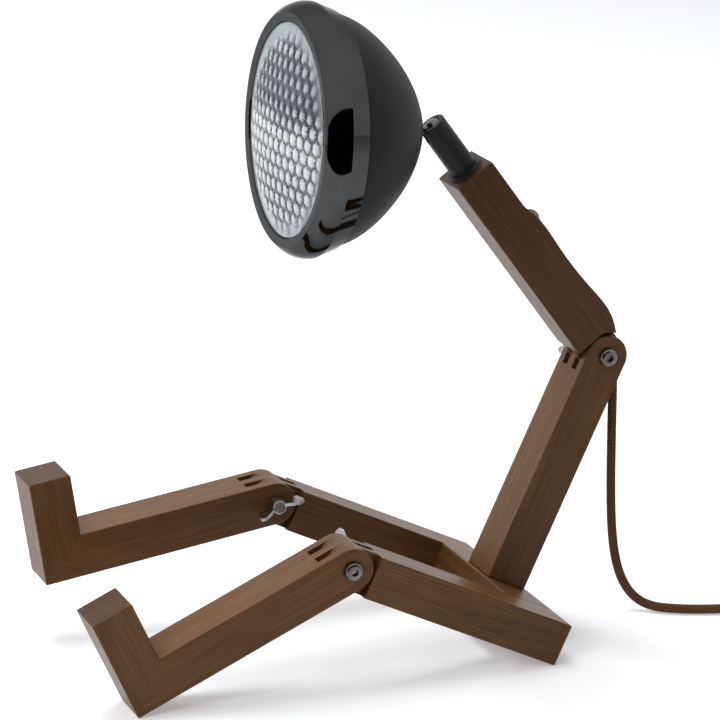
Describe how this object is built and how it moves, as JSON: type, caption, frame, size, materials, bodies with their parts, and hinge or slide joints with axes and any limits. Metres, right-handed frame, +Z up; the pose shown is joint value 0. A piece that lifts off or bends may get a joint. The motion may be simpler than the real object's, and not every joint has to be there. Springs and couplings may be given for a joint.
{
  "type": "robot shaped desk lamp",
  "caption": "Posable desk lamp shaped like a seated robot: timber limbs on wing nut joints, a round headlamp with a prismatic lens on a ball joint, and a textile cord with a plug.",
  "frame": {"origin": "on the surface the lamp sits on, under the middle of the lamp's own bounding box, cord left out", "axes": "+Z up, the robot faces -Y, its left leg on +X"},
  "size_m": [0.1992, 0.6344, 0.361],
  "materials": {
    "smoked_oak": "satin",
    "beech_dowel": "matte",
    "dark_steel": "burnished",
    "plated_steel": "bright plated",
    "black_rubber": "matte",
    "brown_textile": "woven",
    "black_plastic": "matte",
    "plug_brass": "plated",
    "lead_sheath": "matte",
    "bright_ring": "polished",
    "button_black": "gloss",
    "black_metal": "satin",
    "shell_paint": "matte",
    "black_chrome": "black chrome",
    "lens_glass": "clear prismatic",
    "reflector_aluminium": "polished",
    "led_phosphor": "phosphor"
  },
  "bodies": {
    "base": {"thigh_left": "smoked_oak", "thigh_right": "smoked_oak", "seat_crossbar": "smoked_oak", "seat_dowels": "beech_dowel", "back_post": "smoked_oak", "post_screws": "dark_steel", "waist_bolt": "dark_steel", "cord_gland": "black_rubber", "cord_lead": "brown_textile", "cord_coil": "brown_textile", "cord_tie": "black_plastic", "cord_tail": "brown_textile", "plug_body": "black_plastic", "plug_pins": "plug_brass"},
    "left_shin": {"shin_left": "smoked_oak", "foot_left": "smoked_oak", "foot_screw_left": "dark_steel", "foot_plug_left": "smoked_oak", "knee_bolt_left": "dark_steel"},
    "right_shin": {"shin_right": "smoked_oak", "foot_right": "smoked_oak", "foot_screw_right": "dark_steel", "foot_plug_right": "smoked_oak", "knee_bolt_right": "dark_steel"},
    "left_knee_nut": {"knee_wing_nut_left": "plated_steel"},
    "right_knee_nut": {"knee_wing_nut_right": "plated_steel"},
    "waist_nut": {"waist_wing_nut": "plated_steel"},
    "chest": {"chest_block": "smoked_oak", "chest_leads": "lead_sheath", "switch_ring": "bright_ring", "switch_body": "black_plastic", "neck_bush": "black_metal"},
    "button": {"switch_button": "button_black"},
    "neck": {"neck_tube": "black_metal", "neck_clip": "dark_steel", "ball_cup": "black_plastic", "cup_cushion": "black_rubber", "cushion_stop": "black_plastic"},
    "stud": {"ball_stud": "plated_steel", "stud_nut": "dark_steel"},
    "head": {"head_shell": "shell_paint", "bezel": "black_chrome", "lens": "lens_glass", "lens_gasket": "black_rubber", "reflector": "reflector_aluminium", "led_board": "black_plastic", "led_chip": "led_phosphor", "heat_sink": "reflector_aluminium", "lens_clips": "reflector_aluminium"}
  },
  "joints": [
    {"name": "waist_fold", "type": "hinge", "parent": "base", "child": "chest", "pos_m": [0, 0.15276, 0.15381], "axis": [1, 0, 0], "range_deg": [-61.5, 28.5]},
    {"name": "left_knee_fold", "type": "hinge", "parent": "base", "child": "left_shin", "pos_m": [0.0615, -0.02072, 0.06809], "axis": [1, 0, 0], "range_deg": [-79.7, 40.3]},
    {"name": "right_knee_fold", "type": "hinge", "parent": "base", "child": "right_shin", "pos_m": [-0.0615, -0.02072, 0.06809], "axis": [1, 0, 0], "range_deg": [-63.8, 56.2]},
    {"name": "waist_nut_turn", "type": "hinge", "parent": "base", "child": "waist_nut", "pos_m": [-0.018, 0.15276, 0.15381], "axis": [-1, 0, 0], "continuous": true},
    {"name": "left_knee_nut_turn", "type": "hinge", "parent": "left_shin", "child": "left_knee_nut", "pos_m": [0.0435, -0.02072, 0.06809], "axis": [-1, 0, 0], "continuous": true},
    {"name": "right_knee_nut_turn", "type": "hinge", "parent": "right_shin", "child": "right_knee_nut", "pos_m": [-0.0435, -0.02072, 0.06809], "axis": [1, 0, 0], "continuous": true},
    {"name": "switch_press", "type": "slide", "parent": "chest", "child": "button", "axis": [0, -0.8039, -0.5948], "range_m": [0, 0.0012], "stiffness_N_per_m": 600},
    {"name": "neck_swivel", "type": "hinge", "parent": "chest", "child": "neck", "pos_m": [0, 0.07793, 0.25493], "axis": [0, -0.5948, 0.8039], "range_deg": [-90, 90]},
    {"name": "head_tilt", "type": "hinge", "parent": "neck", "child": "stud", "pos_m": [0, 0.05414, 0.28709], "axis": [1, 0, 0], "range_deg": [-74.7, 30]},
    {"name": "head_roll", "type": "hinge", "parent": "stud", "child": "head", "pos_m": [0, 0.04316, 0.28781], "axis": [0, -0.9978, 0.0663], "range_deg": [-90, 90]}
  ]
}
